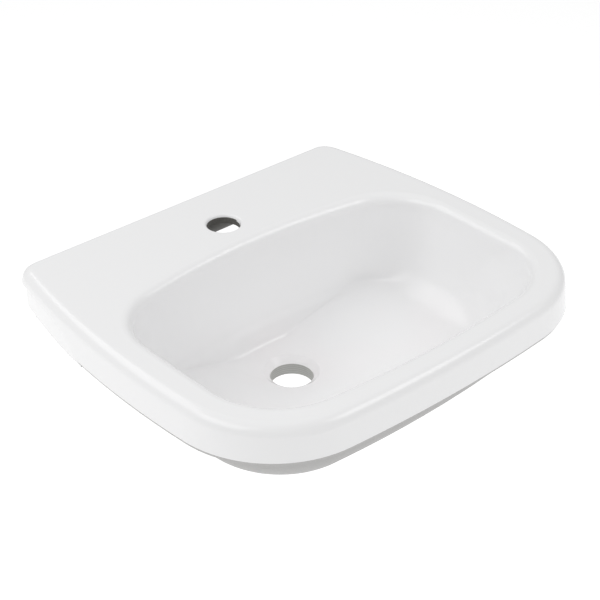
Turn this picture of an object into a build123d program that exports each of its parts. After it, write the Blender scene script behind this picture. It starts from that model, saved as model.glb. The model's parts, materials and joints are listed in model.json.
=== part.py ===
from build123d import *
import os
from math import cos, radians, sin, sqrt, tan

# Wash basin for a pedestal, in millimetres. +X is the user's right, +Y points
# into the wall and +Z is up. The origin is on the wall face, midway between
# the two fixing holes. Depths are measured down from the deck, and distances
# "from the wall" are measured towards the user.

# Deck outline, seen from above, where the deck would meet the apron in a sharp edge
deck_width = 456
deck_depth = 392.5
widest_from_wall = 210
side_arc_radius = 1000
front_arc_radius = 1600
front_corner_radius = 107
rear_corner_radius = 24
rear_corner_overrun = 6

# Deck, apron and walls. The apron flares outwards, as the mould needs
deck_thickness = 10
rim_thickness = 20
apron_depth = 38.3
apron_flare = 6.8
apron_thickness = 12
apron_foot_height = 4
apron_foot_inset = 2.5
deck_edge_radius = 12
back_wall_thickness = 10
hollow_corner_radius = 10
hollow_roof_radius = 6

# Side walls near the back wall: deeper than the apron, and on tighter arcs than the deck's sides,
# so that they stand back under the deck. The inset is at the basin's widest
side_wall_depth = 47
side_wall_inset = 0.25
side_wall_arc_radius = 836
side_wall_corner_radius = 13
side_wall_length = 126
side_wall_foot_radius = 3
side_wall_end_radius = 4.5
wall_face_radius = 2
sweep_depth = 13
sweep_straight = 58
sweep_gentle_radius = 140
sweep_gentle_turn = 20
sweep_tight_radius = 50
sweep_tight_turn = 32

# Tap hole
tap_hole_diameter = 35
tap_hole_from_wall = 65.3
tap_hole_edge_radius = 3

# Waste outlet and its seat
waste_diameter = 45
waste_from_wall = 171
waste_recess_diameter = 59
waste_recess_depth = 5
waste_recess_edge_radius = 2
waste_edge_radius = 2.5
waste_seat_thickness = 15
boss_diameter = 96
boss_height = 7
boss_foot_radius = 3
boss_flare = 14

# Bowl: the rim and the rear deck are measured to where the bowl's walls would meet the deck
side_rim_width = 35.5
front_rim_width = 29
rear_deck_depth = 109
wall_draft = 13.4
rear_wall_draft = 5.5
floor_depth = 130
floor_slope = 0.3
floor_radius = 59
crease_radius = 10
bowl_skin = 15.5
bowl_edge_radius = 11
bowl_side_arc = 5000
bowl_rear_arc = 714
bowl_front_arc = 1195

# Front corners of the bowl as a share of its reach to the side, by depth
rim_roundness = 0.34
body_roundness = 0.6
floor_roundness = 0.93

# Outside of the bowl: a squarer shape than the inside, which shows below the front of the apron
outside_roundness = 0.46
outside_floor_radius = 45

# Rear corners of the bowl, wide at the rim and tight where the floor meets the rear wall
rear_corner_at_rim = 66
rear_corner_at_crease = 13

# Levels that shape the bowl, and those that its two surfaces are drawn through, as shares of floor_depth
body_starts = 0.346
crease_starts = 0.6
crease_ends = 0.815
bowl_levels = [-0.031, 0.077, 0.192, 0.315, 0.431, 0.538, 0.631, 0.708, 0.769, 0.831, 0.885, 0.927,
               0.9615, 0.9846, 1.004]
skin_levels = [0.092, 0.192, 0.315, 0.431, 0.508, 0.577, 0.646, 0.715, 0.785, 0.838, 0.908, 0.969,
               1.031, 1.085]

# Wall fixings
fixing_spacing = 200
fixing_depth = 28
fixing_hole_diameter = 16
fixing_pad_diameter = 34
fixing_pad_thickness = 4
bolt_hole_diameter = 10.5
bush_clearance = 0.15
bush_flange_diameter = 25
bush_flange_thickness = 3
bush_edge_radius = 1

deck_level = fixing_depth
front_line = -deck_depth
waste_y = -waste_from_wall
side_reach = deck_width / 2 - side_rim_width
front_reach = deck_depth - front_rim_width - waste_from_wall
rear_reach = waste_from_wall - rear_deck_depth
side_wall_width = deck_width - 2 * side_wall_inset
recess_radius = waste_recess_diameter / 2
bowl_depth = floor_depth + waste_recess_depth
foot_depth = bowl_depth + waste_seat_thickness
boss_radius = boss_diameter / 2
bush_seat = back_wall_thickness + fixing_pad_thickness
recess_flare = (waste_recess_diameter - waste_diameter) / 2 / waste_recess_depth
fixing_places = [(-fixing_spacing / 2, 0), (fixing_spacing / 2, 0)]
above = 4


def level(depth):
    """Height of a plane that lies a depth below the deck."""
    return deck_level - depth


def blend(depth, start, end, first, last):
    """A size that changes evenly from first to last between two depths."""
    share = min(max((depth - start) / (end - start), 0), 1)
    return first + (last - first) * share


def deck_plan(depth, inset=0, rear_line=rear_corner_overrun):
    """Deck outline drawn in by an inset, closed at the rear by a line at Y = rear_line."""
    with BuildSketch(Plane.XY.offset(level(depth))) as plan:
        with Locations((deck_width / 2 - side_arc_radius, -widest_from_wall)):
            Circle(side_arc_radius - inset)
        with Locations((side_arc_radius - deck_width / 2, -widest_from_wall)):
            Circle(side_arc_radius - inset, mode=Mode.INTERSECT)
        with Locations((0, front_line + front_arc_radius)):
            Circle(front_arc_radius - inset, mode=Mode.INTERSECT)
        with Locations((0, rear_line - deck_depth)):
            Rectangle(2 * deck_width, 2 * deck_depth, mode=Mode.INTERSECT)
        fillet(plan.vertices().group_by(Axis.Y)[0], front_corner_radius - inset)
        fillet(plan.vertices().group_by(Axis.Y)[-1], max(rear_corner_radius - inset, hollow_corner_radius))
    return plan.sketch


def side_wall_plan(depth):
    """Outline of the side walls that stand back under the deck."""
    with BuildSketch(Plane.XY.offset(level(depth))) as plan:
        with Locations((side_wall_width / 2 - side_wall_arc_radius, -widest_from_wall)):
            Circle(side_wall_arc_radius)
        with Locations((side_wall_arc_radius - side_wall_width / 2, -widest_from_wall)):
            Circle(side_wall_arc_radius, mode=Mode.INTERSECT)
        with Locations((0, rear_corner_overrun - widest_from_wall / 2)):
            Rectangle(2 * deck_width, widest_from_wall, mode=Mode.INTERSECT)
        fillet(plan.vertices().group_by(Axis.Y)[-1], side_wall_corner_radius)
    return plan.sketch


def bowl_reach(depth, rim, draft, radius, skin):
    """Reach from the waste axis at a depth: a drafted wall, a round, then the sloped floor.

    With a skin, the line runs that far outside the bowl's surface."""
    lean = radians(draft)
    floor_length = sqrt(1 + floor_slope**2)
    centre_depth = floor_depth - floor_slope * (rim - radius / cos(lean) - recess_radius)
    centre_depth = (centre_depth - radius * floor_length) / (1 - floor_slope * tan(lean))
    centre_reach = rim - centre_depth * tan(lean) - radius / cos(lean)
    round_radius = radius + skin
    if depth <= centre_depth + round_radius * sin(lean):
        return rim + skin / cos(lean) - depth * tan(lean)
    if depth < centre_depth + round_radius / floor_length:
        return centre_reach + sqrt(round_radius**2 - (depth - centre_depth) ** 2)
    return recess_radius + (floor_depth + skin * floor_length - depth) / floor_slope


def bowl_section(depth, skin=0):
    """Level section of the bowl, or of the outside of its wall where a skin is given."""
    turn_radius = floor_radius
    wall_roundness = blend(depth, 0, body_starts * floor_depth, rim_roundness, body_roundness)
    if skin:
        turn_radius = outside_floor_radius
        wall_roundness = outside_roundness
    side = bowl_reach(depth, side_reach, wall_draft, turn_radius, skin)
    front = bowl_reach(depth, front_reach, wall_draft, turn_radius, skin)
    rear = bowl_reach(depth, rear_reach, rear_wall_draft, crease_radius, skin)
    inner_depth = depth - skin
    crease_start = crease_starts * floor_depth
    crease_end = crease_ends * floor_depth
    roundness = blend(inner_depth, crease_end, floor_depth, wall_roundness, floor_roundness)
    crease = blend(inner_depth, crease_start, crease_end, rear_corner_at_rim, rear_corner_at_crease)
    last_corner = floor_roundness * recess_radius
    rear_corner = blend(inner_depth, floor_depth - crease_radius, floor_depth, crease, last_corner)
    with BuildSketch(Plane.XY.offset(level(depth))) as section:
        with Locations((side - bowl_side_arc, waste_y)):
            Circle(bowl_side_arc)
        with Locations((bowl_side_arc - side, waste_y)):
            Circle(bowl_side_arc, mode=Mode.INTERSECT)
        with Locations((0, waste_y + rear - bowl_rear_arc)):
            Circle(bowl_rear_arc, mode=Mode.INTERSECT)
        with Locations((0, waste_y - front + bowl_front_arc)):
            Circle(bowl_front_arc, mode=Mode.INTERSECT)
        fillet(section.vertices().group_by(Axis.Y)[0], roundness * side)
        fillet(section.vertices().group_by(Axis.Y)[-1], rear_corner + skin / 2)
    return section.sketch


with BuildPart() as bowl_space:
    loft([bowl_section(share * floor_depth) for share in bowl_levels])

with BuildPart() as bowl_outside:
    loft([bowl_section(share * floor_depth, bowl_skin) for share in skin_levels])

# Block that the deck and apron are cut from, rounded at its top and drawn in at its foot
with BuildPart() as rim_block:
    extrude(deck_plan(0), amount=-apron_depth, taper=-apron_flare)
    fillet(rim_block.faces().sort_by(Axis.Z)[-1].edges(), deck_edge_radius)
    foot = rim_block.faces().sort_by(Axis.Z)[0]
    chamfer(foot.edges(), apron_foot_inset, apron_foot_height, reference=foot)

# Side view of the space under the apron's lower edge, which sweeps up towards the wall
with BuildSketch(Plane.YZ) as sweep_view:
    with BuildLine():
        straight = Line((above, level(sweep_depth)), (-sweep_straight, level(sweep_depth)))
        gentle = JernArc(straight @ 1, (-1, 0), sweep_gentle_radius, sweep_gentle_turn)
        tight = JernArc(gentle @ 1, gentle % 1, sweep_tight_radius, sweep_tight_turn)
        below = Line(tight @ 1, ((tight @ 1).X, level(foot_depth)))
        foot = Line(below @ 1, (above, level(foot_depth)))
        Line(foot @ 1, straight @ 0)
    make_face()

with BuildPart() as side_recess:
    extrude(sweep_view.sketch, amount=deck_width, both=True)
    extrude(side_wall_plan(0), amount=-side_wall_depth, mode=Mode.SUBTRACT)

# Side view of the walls that stand back under the deck
with BuildSketch(Plane.YZ) as wall_view:
    with Locations((rear_corner_overrun, level(deck_thickness))):
        Rectangle(rear_corner_overrun + side_wall_length, side_wall_depth - deck_thickness,
                  align=(Align.MAX, Align.MAX))
    fillet(wall_view.vertices().group_by(Axis.X)[0].sort_by(Axis.Y)[0], side_wall_end_radius)

with BuildPart() as wall_block:
    extrude(side_wall_plan(0), amount=-side_wall_depth)
    fillet(wall_block.faces().sort_by(Axis.Z)[0].edges(), side_wall_foot_radius)
    extrude(wall_view.sketch, amount=deck_width, both=True, mode=Mode.INTERSECT)

# Hollow under the rim, and the deeper pocket behind the bowl
with BuildPart() as hollow:
    extrude(deck_plan(rim_thickness, apron_thickness, -back_wall_thickness), amount=-foot_depth)
    fillet(hollow.faces().sort_by(Axis.Z)[-1].edges(), hollow_roof_radius)

with BuildPart() as pocket:
    extrude(deck_plan(deck_thickness, apron_thickness, -back_wall_thickness), amount=-side_wall_depth)
    with Locations((0, waste_y + rear_reach + bowl_skin, level(0))):
        Box(deck_width, deck_depth, 4 * side_wall_depth,
            align=(Align.CENTER, Align.MIN, Align.CENTER), mode=Mode.INTERSECT)
    fillet(pocket.faces().sort_by(Axis.Z)[-1].edges(), hollow_roof_radius)

# Boss round the waste: its flat underside seats the waste nut, and stands on the pedestal's neck
with BuildSketch(Plane.XZ) as boss_view:
    with BuildLine():
        seat = Line((0, level(foot_depth)), (boss_radius - boss_foot_radius, level(foot_depth)))
        heel = JernArc(seat @ 1, (1, 0), boss_foot_radius, 90)
        side = Line(heel @ 1, (boss_radius, level(foot_depth - boss_height)))
        flare = JernArc(side @ 1, (0, 1), boss_flare, -90)
        top = Line(flare @ 1, (0, (flare @ 1).Y))
        Line(top @ 1, seat @ 0)
    make_face()

with BuildPart() as waste_boss:
    revolve(boss_view.sketch, Axis.Z)

with BuildPart() as basin:
    add(rim_block.part)
    add(side_recess.part, mode=Mode.SUBTRACT)
    add(wall_block.part)
    with Locations((0, 0, level(side_wall_depth))):
        Box(2 * deck_width, 4 * rear_corner_overrun, 4 * side_wall_depth,
            align=(Align.CENTER, Align.MIN, Align.CENTER), mode=Mode.SUBTRACT)
    add(hollow.part, mode=Mode.SUBTRACT)
    add(pocket.part, mode=Mode.SUBTRACT)
    with Locations(Plane.XZ.offset(back_wall_thickness)):
        with Locations(*fixing_places):
            Cylinder(fixing_pad_diameter / 2, fixing_pad_thickness,
                     align=(Align.CENTER, Align.CENTER, Align.MIN))
    add(bowl_outside.part)
    with Locations((0, waste_y, 0)):
        add(waste_boss.part)
    add(bowl_space.part, mode=Mode.SUBTRACT)
    with Locations(Plane.XZ):
        with Locations(*fixing_places):
            Cylinder(fixing_hole_diameter / 2, 4 * back_wall_thickness, mode=Mode.SUBTRACT)
    with Locations((0, -tap_hole_from_wall, level(0))):
        Cylinder(tap_hole_diameter / 2, 4 * deck_thickness, mode=Mode.SUBTRACT)
    with Locations((0, waste_y, level(foot_depth))):
        Cylinder(waste_diameter / 2, 4 * waste_seat_thickness, mode=Mode.SUBTRACT)
    with Locations((0, waste_y, level(bowl_depth))):
        Cone(waste_diameter / 2, recess_radius + waste_recess_depth * recess_flare, 2 * waste_recess_depth,
             align=(Align.CENTER, Align.CENTER, Align.MIN), mode=Mode.SUBTRACT)

    wall_face = basin.faces().filter_by(Axis.Y).sort_by(Axis.Y)[-1]
    fillet(wall_face.outer_wire().edges(), wall_face_radius)
    deck = basin.faces().filter_by(Axis.Z).sort_by(Axis.Z)[-1]
    fillet(deck.inner_wires().sort_by(SortBy.LENGTH)[-1].edges(), bowl_edge_radius)
    deck = basin.faces().filter_by(Axis.Z).sort_by(Axis.Z)[-1]
    fillet(deck.inner_wires().sort_by(SortBy.LENGTH)[0].edges(), tap_hole_edge_radius)
    waste_recess = basin.faces().filter_by(GeomType.CONE).sort_by(Axis.Z)[0]
    fillet(waste_recess.edges().filter_by(GeomType.BSPLINE), waste_recess_edge_radius)
    waste_recess = basin.faces().filter_by(GeomType.CONE).sort_by(Axis.Z)[0]
    fillet(waste_recess.edges().filter_by(GeomType.CIRCLE), waste_edge_radius)

basin.part.label = "basin"

# Flanged nylon bushes in the fixing holes, which keep the steel bolts off the ware
with BuildPart() as fixing_bushes:
    with Locations(Plane.XZ):
        with Locations(*fixing_places):
            Cylinder(fixing_hole_diameter / 2 - bush_clearance, bush_seat,
                     align=(Align.CENTER, Align.CENTER, Align.MIN))
    with Locations(Plane.XZ.offset(bush_seat)):
        with Locations(*fixing_places):
            Cylinder(bush_flange_diameter / 2, bush_flange_thickness,
                     align=(Align.CENTER, Align.CENTER, Align.MIN))
    flange_rims = fixing_bushes.edges().filter_by(GeomType.CIRCLE).group_by(Axis.Y)[0]
    fillet(flange_rims, bush_edge_radius)
    with Locations(Plane.XZ):
        with Locations(*fixing_places):
            Cylinder(bolt_hole_diameter / 2, 4 * bush_seat, mode=Mode.SUBTRACT)

fixing_bushes.part.label = "fixing_bushes"

os.makedirs("parts", exist_ok=True)
export_step(basin.part, "parts/basin.step")
export_step(fixing_bushes.part, "parts/fixing_bushes.step")
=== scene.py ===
# %% [markdown]
# ## The frame
# The basin comes in as solids, in metres. The origin is on the wall face, midway
# between the two fixing holes. +X is the user's right, +Y points into the wall and
# +Z is up. The pieces could be modelled again over the solids, but these have the
# whole shape already, so they are kept, and this script gives them their glaze, clay
# and nylon, their light and a view.

import json

import bmesh
import bpy
from mathutils import Matrix, Vector


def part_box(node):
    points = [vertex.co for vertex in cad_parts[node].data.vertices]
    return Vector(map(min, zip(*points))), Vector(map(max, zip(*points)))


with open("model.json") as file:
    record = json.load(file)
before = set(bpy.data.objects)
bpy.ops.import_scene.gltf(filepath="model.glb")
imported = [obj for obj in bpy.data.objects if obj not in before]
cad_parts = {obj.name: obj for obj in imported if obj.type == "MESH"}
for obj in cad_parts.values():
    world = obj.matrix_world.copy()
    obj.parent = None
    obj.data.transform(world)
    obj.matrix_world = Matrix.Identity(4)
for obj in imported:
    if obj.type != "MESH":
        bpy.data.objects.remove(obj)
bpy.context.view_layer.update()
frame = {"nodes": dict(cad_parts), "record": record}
print("nodes", sorted(frame["nodes"]))

# %% Levels read from the frame
low, high = (Vector(corner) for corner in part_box("basin"))
deck_level = high.z
foot_level = low.z
print("deck at", round(deck_level, 4), "foot at", round(foot_level, 4))

# %% [markdown]
# ## Writing shader maths
# A node tree is hard to read as a list of links. A small class wraps a socket and
# gives it + - * and /, so that a mask or a mottle is written as a formula. Colours
# go through Mix nodes, because a Math node turns a colour grey.

# %% A socket that does sums
class Socket:
    def __init__(self, shader, link):
        self.shader, self.link = shader, link

    def sum(self, operation, *values):
        return self.shader.node("ShaderNodeMath", {"operation": operation}, *values)

    def __add__(self, other):
        return self.sum("ADD", self, other)

    def __mul__(self, other):
        return self.sum("MULTIPLY", self, other)

    def __sub__(self, other):
        return self.sum("SUBTRACT", self, other)

    def __rsub__(self, other):
        return self.sum("SUBTRACT", other, self)

    def __truediv__(self, other):
        return self.sum("DIVIDE", self, other)

    def __rtruediv__(self, other):
        return self.sum("DIVIDE", other, self)

    __radd__, __rmul__ = __add__, __mul__

    def absolute(self):
        return self.sum("ABSOLUTE", self)

    def sine(self):
        return self.sum("SINE", self)

    def or_(self, other):
        """The larger of two masks."""
        return self.sum("MAXIMUM", self, other)

    def between(self, start, end, first=0.0, last=1.0):
        """Goes smoothly from first to last as this value goes from start to end."""
        return self.shader.node("ShaderNodeMapRange", {"interpolation_type": "SMOOTHSTEP"},
                                self, start, end, first, last)


# %% A shader that takes formulas
class Shader:
    def __init__(self, name):
        self.material = bpy.data.materials.new(name)
        self.material.use_nodes = True
        self.tree = self.material.node_tree
        self.surface = self.tree.nodes["Principled BSDF"]
        print("material", name)

    def fill(self, slot, value):
        if isinstance(value, Socket):
            self.tree.links.new(value.link, slot)
        else:
            slot.default_value = value

    def node(self, kind, settings, *values, output=0, **named):
        """Adds a node, sets it, then fills its inputs with numbers, colours or sockets."""
        made = self.tree.nodes.new(kind)
        for setting, value in settings.items():
            setattr(made, setting, value)
        for place, value in enumerate(values):
            self.fill(made.inputs[place], value)
        for name, value in named.items():
            self.fill(made.inputs[name.replace("_", " ")], value)
        return Socket(self, made.outputs[output])

    def mix(self, share, first, second):
        """One colour at share 0, the other at share 1."""
        made = self.tree.nodes.new("ShaderNodeMix")
        made.data_type = "RGBA"
        for place, value in ((0, share), (6, first), (7, second)):
            self.fill(made.inputs[place], value)
        return Socket(self, made.outputs[2])

    def axes(self, vector):
        """The x, y and z of a vector."""
        made = self.tree.nodes.new("ShaderNodeSeparateXYZ")
        self.fill(made.inputs[0], vector)
        return [Socket(self, made.outputs[axis]) for axis in range(3)]

    def place(self):
        return self.node("ShaderNodeTexCoord", {}, output="Object")

    def facing(self):
        return self.node("ShaderNodeTexCoord", {}, output="Normal")

    def noise(self, scale, detail=2.0):
        """Soft random values round 0.5, with about this many blotches to the metre."""
        return self.node("ShaderNodeTexNoise", {}, Vector=self.place(), Scale=scale, Detail=detail)

    def set(self, **inputs):
        """Sets the shader's own sockets: a number or colour is kept there, a socket is linked."""
        for name, value in inputs.items():
            self.fill(self.surface.inputs[name.replace("_", " ")], value)


# %% [markdown]
# ## Where the glaze stops, and where shade is painted
# A basin is sprayed with glaze from above and from outside, while it stands on its
# underside. The underside, the hollow behind the apron, the holes and the face that
# goes against the wall stay bare fired clay. The line could be painted on, but a mask
# made from the place and the facing of the surface needs no picture and has no seams:
# a surface is bare if it looks down, or if it is a wall that looks inwards. The same
# mask carries painted shade: the bare clay takes a grey darker than real bisque, for
# the shade under the apron's foot, below the bowl and inside the hollow. Each pair
# of numbers is where a soft step starts and where it ends.

# %% The holes, and how far the glaze runs into them
mounts = {mount["name"]: mount for mount in frame["record"]["mounts"]}
tap_y, waste_y = (mounts[name]["pos_m"][1] for name in ("tap_hole", "waste_hole"))
tap_radius, waste_radius = (mounts[name]["dims"]["r_mm"] / 1000 for name in ("tap_hole", "waste_hole"))
tap_glaze_end = deck_level - 0.005
waste_glaze_end = foot_level + 0.0125
tap_bare = (tap_glaze_end + 0.0007, tap_glaze_end)
waste_bare = (waste_glaze_end + 0.0005, waste_glaze_end)
print("glaze ends at", round(tap_glaze_end, 4), "by the tap,", round(waste_glaze_end, 4), "by the waste")


def inside_circle(x, y, centre_y, radius):
    """1 within this distance of an upright axis on the middle line, 0 a millimetre outside it."""
    across = y - centre_y
    return (x * x + across * across).between((radius + 0.0004) ** 2, (radius + 0.001) ** 2, 1, 0)


# %% The hollow behind the apron
hollow_side, hollow_front = 0.198, -0.376
hollow_corner_x, hollow_corner_y = 0.1195, -0.284
hollow_outline = (0.95, 1.05)
before_wall = (-0.0115, -0.013)
print("hollow", 2 * hollow_side, "m across, its front at", hollow_front)


def behind_apron(x, y):
    """1 inside a rounded outline that runs between the bowl and the foot of the apron."""
    side = (x.absolute() - hollow_corner_x).or_(0) / (hollow_side - hollow_corner_x)
    front = (hollow_corner_y - y).or_(0) / (hollow_corner_y - hollow_front)
    return (side * side + front * front).between(*hollow_outline, 1, 0) * y.between(*before_wall)


# %% The room round the bowl
past_bowl_side = (0.1935, 0.195)
past_bowl_rear = (-0.104, -0.102)
past_bowl_front = (-0.3645, -0.366)
print("bowl", 2 * past_bowl_side[0], "m across, from", past_bowl_rear[0], "to", past_bowl_front[0])


def beside_bowl(x, y):
    """1 beyond the widest part of the bowl, where only the hollow's own walls are."""
    side = x.absolute().between(*past_bowl_side)
    return side.or_(y.between(*past_bowl_rear)).or_(y.between(*past_bowl_front))


# %% Mask for the bare clay
middle_y = -0.19
below_bowl_wall = (-0.0195, -0.0205)
at_wall_face = (-0.003, -0.001)
print("inwards is towards y", middle_y)


def bare_clay_and_painted_shade(shader):
    """1 where the clay is bare and takes the grey that stands as painted shade, 0 where it is glazed."""
    x, y, z = shader.axes(shader.place())
    east, north, up = shader.axes(shader.facing())
    outward = east * x + north * (y - middle_y)
    looks_out = outward.between(-0.04, -0.02)
    looks_in = outward.between(0, -0.02) * up.between(0.03, 0.06, 1, 0)
    below = z.between(*below_bowl_wall).or_(behind_apron(x, y))
    # Outward faces that look down below the bowl wall, the rounding of the apron's foot and the hollow's
    # inward walls take the clay grey as painted shade.
    bare_and_shade = up.between(-0.02, -0.07) * looks_out * below
    bare_and_shade = bare_and_shade.or_(up.between(-0.3, -0.45) * looks_out)
    bare_and_shade = bare_and_shade.or_(up.between(-0.85, -0.95))
    bare_and_shade = bare_and_shade.or_(looks_in * beside_bowl(x, y))
    bare_and_shade = bare_and_shade.or_(inside_circle(x, y, tap_y, tap_radius) * z.between(*tap_bare))
    bare_and_shade = bare_and_shade.or_(inside_circle(x, y, waste_y, waste_radius) * z.between(*waste_bare))
    return bare_and_shade.or_(north.between(0.6, 0.9) * y.between(*at_wall_face))


# %% [markdown]
# ## The glaze and the clay
# Sanitary ware is vitreous china under a thick, white, glassy glaze. The white is
# nearly the same all over, a little warmer where it pools in the bowl, so the look
# comes from the gloss: a low roughness, and the faint waves that the glaze keeps from
# its melting. A coat layer over a clay colour is another way to build it, but one
# glossy layer has fewer values to keep in step. The bare clay is matt and grainy, and
# its grey is darker than real bisque, as painted shade. It has darker rings in the
# waste, and the pocket under the tap is painted near black as shade.

# %% Colours of the ware
glaze_white = (0.93, 0.93, 0.934, 1)
pooled_white = (0.925, 0.908, 0.914, 1)
# A darker grey than real bisque: painted shade under the apron and in the hollow.
clay_grey_with_painted_shade = (0.50, 0.497, 0.492, 1)
clay_speck = (0.30, 0.29, 0.275, 1)
# Near black: painted shade in the pocket under the tap.
pocket_painted_shade = (0.09, 0.088, 0.08, 1)
waste_ring_grey = (0.29, 0.30, 0.27, 1)
print("glaze", glaze_white[:3], "clay", clay_grey_with_painted_shade[:3])

# %% Fired clay, with painted shade
ring_frequency = 2600
# The clay in the pocket under the tap is painted near black above this height, as shade.
pocket_shade_height = (-0.03, -0.005)
between_sides = (0.17, 0.19)
behind_bowl = (-0.12, -0.1)
off_wall_face = (-0.005, -0.009)
print("damp above", pocket_shade_height[0])


def clay_with_painted_shade(shader, grain):
    """Clay grey with specks, painted near black in the pocket under the tap as shade, ringed darker in the
    waste.
    """
    x, y, z = shader.axes(shader.place())
    pocket = y.between(*behind_bowl) * y.between(*off_wall_face) * x.absolute().between(*between_sides, 1, 0)
    # Painted shade: the pocket's clay goes near black towards the deck.
    colour = shader.mix(z.between(*pocket_shade_height) * pocket, clay_grey_with_painted_shade, pocket_painted_shade)
    rings = (z * ring_frequency).sine().between(0.2, 0.95, 0.25, 0.75)
    # Darker rings down the waste bore.
    colour = shader.mix(inside_circle(x, y, waste_y, waste_radius) * rings, colour, waste_ring_grey)
    return shader.mix(grain.between(0.35, 0.65, 0, 0.12), colour, clay_speck)


# %% Glazed ware
pool_depth = (-0.03, -0.1)
clay_roughness = 0.85
glaze_wave, clay_pit = 0.00006, 0.0003


def glazed_ware():
    shader = Shader("glazed ware")
    z = shader.axes(shader.place())[2]
    bare_and_shade = bare_clay_and_painted_shade(shader)
    grain = shader.noise(900, 4.0)
    pooled = z.between(*pool_depth) * shader.noise(9).between(0.3, 0.7)
    white = shader.mix(pooled, glaze_white, pooled_white)
    shader.set(Base_Color=shader.mix(bare_and_shade, white, clay_with_painted_shade(shader, grain)), IOR=1.5)
    smear = shader.noise(30).between(0.35, 0.7, 0.17, 0.23)
    shader.set(Roughness=smear * (1 - bare_and_shade) + bare_and_shade * clay_roughness)
    height = shader.noise(45) * (1 - bare_and_shade) * glaze_wave + grain * bare_and_shade * clay_pit
    shader.set(Normal=shader.node("ShaderNodeBump", {}, Strength=1.0, Distance=1.0, Height=height))
    return shader.material


basin = frame["nodes"]["basin"]
basin.data.materials.clear()
basin.data.materials.append(glazed_ware())

# %% [markdown]
# ## The bushes
# The two bushes in the back wall are moulded in natural nylon: a milky, slightly
# yellow plastic with a satin face. Light goes a little way into it, and a subsurface
# layer would show that, but on a piece this small a pale, cloudy colour and a middling
# roughness do as well.

# %% Moulded nylon
nylon_pale = (0.66, 0.64, 0.58, 1)
nylon_deep = (0.60, 0.58, 0.52, 1)


def moulded_nylon():
    shader = Shader("moulded nylon")
    cloud = shader.noise(120).between(0.3, 0.7)
    shader.set(Base_Color=shader.mix(cloud, nylon_pale, nylon_deep))
    shader.set(Roughness=shader.noise(400).between(0.3, 0.7, 0.42, 0.55))
    return shader.material


bushes = frame["nodes"]["fixing_bushes"]
bushes.data.materials.clear()
bushes.data.materials.append(moulded_nylon())

# %% [markdown]
# ## The floor
# The floor is a plain pale sheet well below the basin, as on a lit table: it glows a
# little, so that it stays white without a shadow. A curved backdrop would hide the
# horizon in low views, but the main view looks down and doesn't show it.

# %% Floor
floor_drop = 0.75
floor_half_width = 6
floor = bpy.data.objects.new("floor", bpy.data.meshes.new("floor"))
sheet = bmesh.new()
bmesh.ops.create_grid(sheet, x_segments=1, y_segments=1, size=floor_half_width)
bmesh.ops.translate(sheet, verts=sheet.verts, vec=(0, 0, foot_level - floor_drop))
sheet.to_mesh(floor.data)
sheet.free()
bpy.context.scene.collection.objects.link(floor)
print("floor at", round(foot_level - floor_drop, 3))

# %% Floor paint
floor_glow = 0.43
paint = Shader("floor paint")
paint.set(Base_Color=(0.95, 0.95, 0.95, 1), Roughness=0.9)
paint.set(Emission_Color=(1, 1, 1, 1), Emission_Strength=floor_glow)
floor.data.materials.append(paint.material)

# %% [markdown]
# ## The light
# The photograph has an even studio light, a little stronger from the upper left. A
# white surround gives most of it. A large softbox on the left lights the bowl's right
# wall and the left of the apron, a wide one behind draws the soft lines along the
# rounded edges, and one at the front right keeps the rear wall from going grey. A
# single lamp would have been simpler, but it leaves one side of the bowl dark.

# %% Surround
surround_strength = 0.52
world = bpy.data.worlds.new("studio")
world.use_nodes = True
surround = world.node_tree.nodes["Background"]
surround.inputs["Color"].default_value = (1, 1, 1, 1)
surround.inputs["Strength"].default_value = surround_strength
bpy.context.scene.world = world
print("surround", surround_strength)

# %% Softboxes
lit_point = Vector((0, -0.2, 0))


def softbox(name, place, size, power):
    """A soft lamp at this place that faces the middle of the basin."""
    lamp = bpy.data.lights.new(name, "AREA")
    lamp.shape, lamp.size, lamp.size_y, lamp.energy = "RECTANGLE", size[0], size[1], power
    box = bpy.data.objects.new(name, lamp)
    box.location = place
    box.rotation_euler = (lit_point - Vector(place)).to_track_quat("-Z", "Y").to_euler()
    bpy.context.scene.collection.objects.link(box)
    print(name, size, "m,", power, "W")


softbox("left softbox", (-1.5, -0.1, 1.55), (1.5, 1.2), 10)
softbox("rear strip", (-0.75, 1.4, 1.75), (2.2, 1.1), 12)
softbox("front right softbox", (1.1, -1.5, 1.6), (1.3, 0.9), 11)

# %% [markdown]
# ## The camera
# The camera was fitted to the outline in the photograph: 41.8 degrees to the left of
# the front and 32.6 degrees up. It could be aimed at a point of the basin instead, but
# the fit gives its own three axes and its place, so it is set by them.

# %% Camera
camera = bpy.data.objects.new("camera", bpy.data.cameras.new("camera"))
camera.data.lens = 90.68
right = (0.74588, -0.66609, 0)
up = (0.35930, 0.40234, 0.84204)
back = (-0.56087, -0.62806, 0.53941)
camera_place = (-0.8425, -1.1270, 0.8007)
rows = [(right[row], up[row], back[row], camera_place[row]) for row in range(3)]
camera.matrix_world = Matrix(rows + [(0, 0, 0, 1)])
bpy.context.scene.collection.objects.link(camera)
bpy.context.scene.camera = camera
bpy.context.scene.view_settings.view_transform = "Standard"
print("camera", round(Vector(camera_place).length, 3), "m from the origin")
